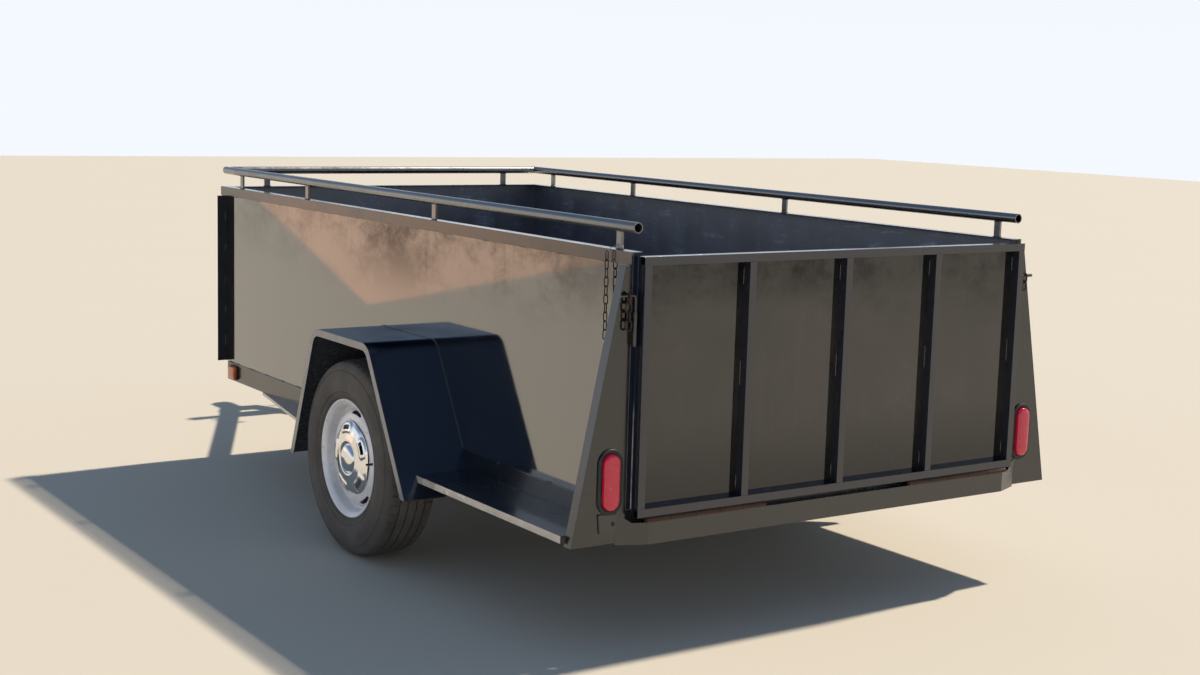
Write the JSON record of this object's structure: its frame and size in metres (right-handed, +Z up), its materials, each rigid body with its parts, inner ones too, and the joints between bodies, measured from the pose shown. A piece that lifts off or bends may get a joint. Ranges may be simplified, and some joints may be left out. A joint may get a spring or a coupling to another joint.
{
  "type": "utility trailer",
  "caption": "Steel-sided single-axle box trailer with tailgate, tie rails, fenders, A-frame tongue and jack.",
  "frame": {"origin": "middle of the whole trailer's box, on the ground", "axes": "+X to the trailer's right, +Y forward to the hitch, +Z up"},
  "size_m": [2.122, 4.3582, 1.271],
  "materials": {
    "black_paint": "gloss",
    "under_paint": "matt",
    "floor_steel": "worn satin",
    "pipe_paint": "satin",
    "rubber": "matt",
    "red_lens": "gloss",
    "amber_lens": "gloss",
    "spring_steel": "rusty",
    "rusty_steel": "rusty",
    "chain_steel": "dull",
    "zinc": "satin",
    "tyre": "matt",
    "silver_paint": "satin",
    "hub_iron": "dull",
    "chrome": "bright"
  },
  "bodies": {
    "trailer": {"frame_rail_left": "black_paint", "frame_rail_right": "black_paint", "front_beam": "black_paint", "rear_beam": "black_paint", "cross_members": "under_paint", "floor_plate": "floor_steel", "side_wall_left": "black_paint", "side_wall_right": "black_paint", "front_wall": "black_paint", "top_rail_left": "black_paint", "top_rail_right": "black_paint", "top_rail_front": "black_paint", "tie_pipe_left": "pipe_paint", "tie_pipe_right": "pipe_paint", "tie_pipe_front": "pipe_paint", "tie_posts": "pipe_paint", "corner_angles": "black_paint", "rear_fin_left": "black_paint", "rear_fin_right": "black_paint", "light_grommets": "rubber", "tail_lights": "red_lens", "side_markers": "amber_lens", "fender_left": "black_paint", "fender_right": "black_paint", "running_board_left": "black_paint", "running_board_right": "black_paint", "side_wedges": "black_paint", "leaf_spring_left": "spring_steel", "leaf_spring_right": "spring_steel", "spring_hangers": "under_paint", "spring_shackles": "spring_steel", "axle_beam": "under_paint", "axle_spindles": "under_paint", "axle_clamps": "spring_steel", "tongue_tube_left": "black_paint", "tongue_tube_right": "black_paint", "coupler": "black_paint", "coupler_latch": "zinc", "jack_tube": "zinc", "jack_crank": "zinc", "latch_rods": "black_paint", "latch_chains": "chain_steel", "safety_chains": "chain_steel", "beam_hinges": "rusty_steel"},
    "tailgate": {"gate_bars": "black_paint", "gate_ribs": "black_paint", "gate_panel": "black_paint", "gate_hinges": "rusty_steel"},
    "jack_foot": {"jack_leg": "zinc"},
    "wheel_left": {"tyre_left": "tyre", "rim_left": "silver_paint", "hub_left": "hub_iron", "hub_cap_left": "chrome"},
    "wheel_right": {"tyre_right": "tyre", "rim_right": "silver_paint", "hub_right": "hub_iron", "hub_cap_right": "chrome"}
  },
  "joints": [
    {"name": "wheel_left_spin", "type": "hinge", "parent": "trailer", "child": "wheel_left", "pos_m": [-0.946, -0.77665, 0.345], "axis": [1, 0, 0], "continuous": true},
    {"name": "wheel_right_spin", "type": "hinge", "parent": "trailer", "child": "wheel_right", "pos_m": [0.946, -0.77665, 0.345], "axis": [1, 0, 0], "continuous": true},
    {"name": "tailgate_hinge", "type": "hinge", "parent": "trailer", "child": "tailgate", "pos_m": [0, -2.17165, 0.405], "axis": [1, 0, 0], "range_deg": [0, 120]},
    {"name": "jack_slide", "type": "slide", "parent": "trailer", "child": "jack_foot", "axis": [0, 0, 1], "range_m": [0, 0.25]}
  ]
}
